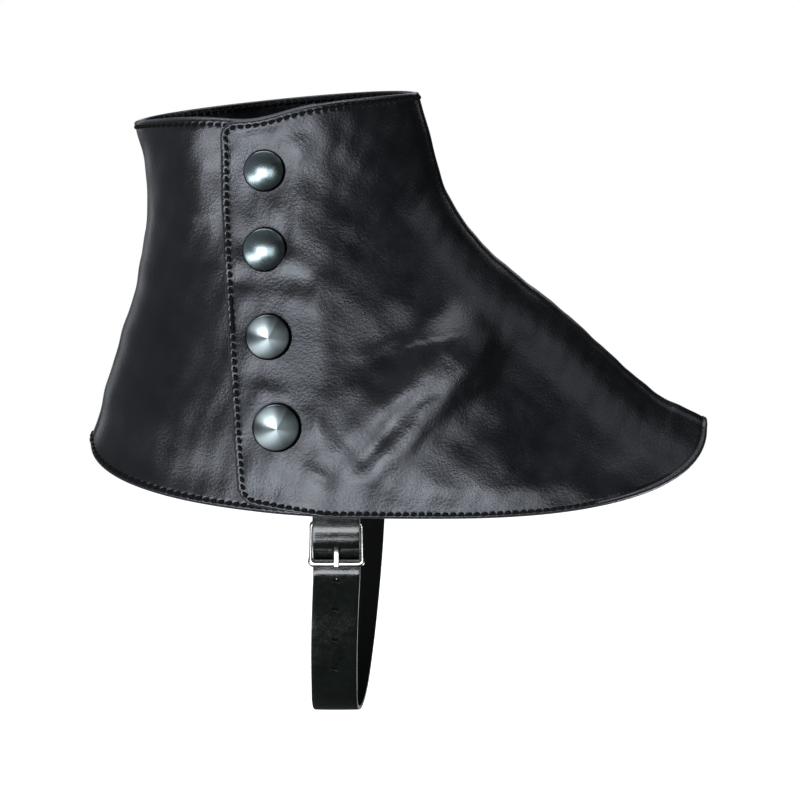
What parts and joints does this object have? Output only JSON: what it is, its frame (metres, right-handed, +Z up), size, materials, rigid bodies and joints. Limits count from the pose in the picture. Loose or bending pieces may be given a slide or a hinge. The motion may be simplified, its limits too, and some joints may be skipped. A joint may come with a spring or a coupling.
{
  "type": "boot cover",
  "caption": "Black leather boot cover (spat) filled out as worn: flap with domed snaps, open at the leg and hem, with a buckled strap under the arch.",
  "frame": {"origin": "on the leg's axis at the narrowest ring of the ankle, where the wearer's leg holds the cover", "axes": "+X towards the toe, -Y the wearer's outer side with the snaps, +Z up the leg"},
  "size_m": [0.2382, 0.0974, 0.2403],
  "materials": {
    "panel_leather": "satin, fine grain",
    "strap_leather": "glossy, smooth",
    "nickel": "polished nickel plate",
    "gunmetal": "polished gunmetal",
    "post_metal": "satin"
  },
  "bodies": {
    "root": {"outer_front_panel": "panel_leather", "outer_back_panel": "panel_leather", "inner_panel": "panel_leather", "strap": "strap_leather", "buckle_tab": "strap_leather", "buckle_frame": "nickel", "buckle_prong": "nickel", "snap_cap_1": "gunmetal", "snap_cap_2": "gunmetal", "snap_cap_3": "gunmetal", "snap_cap_4": "gunmetal", "snap_post_1": "post_metal", "snap_post_2": "post_metal", "snap_post_3": "post_metal", "snap_post_4": "post_metal"}
  },
  "joints": []
}
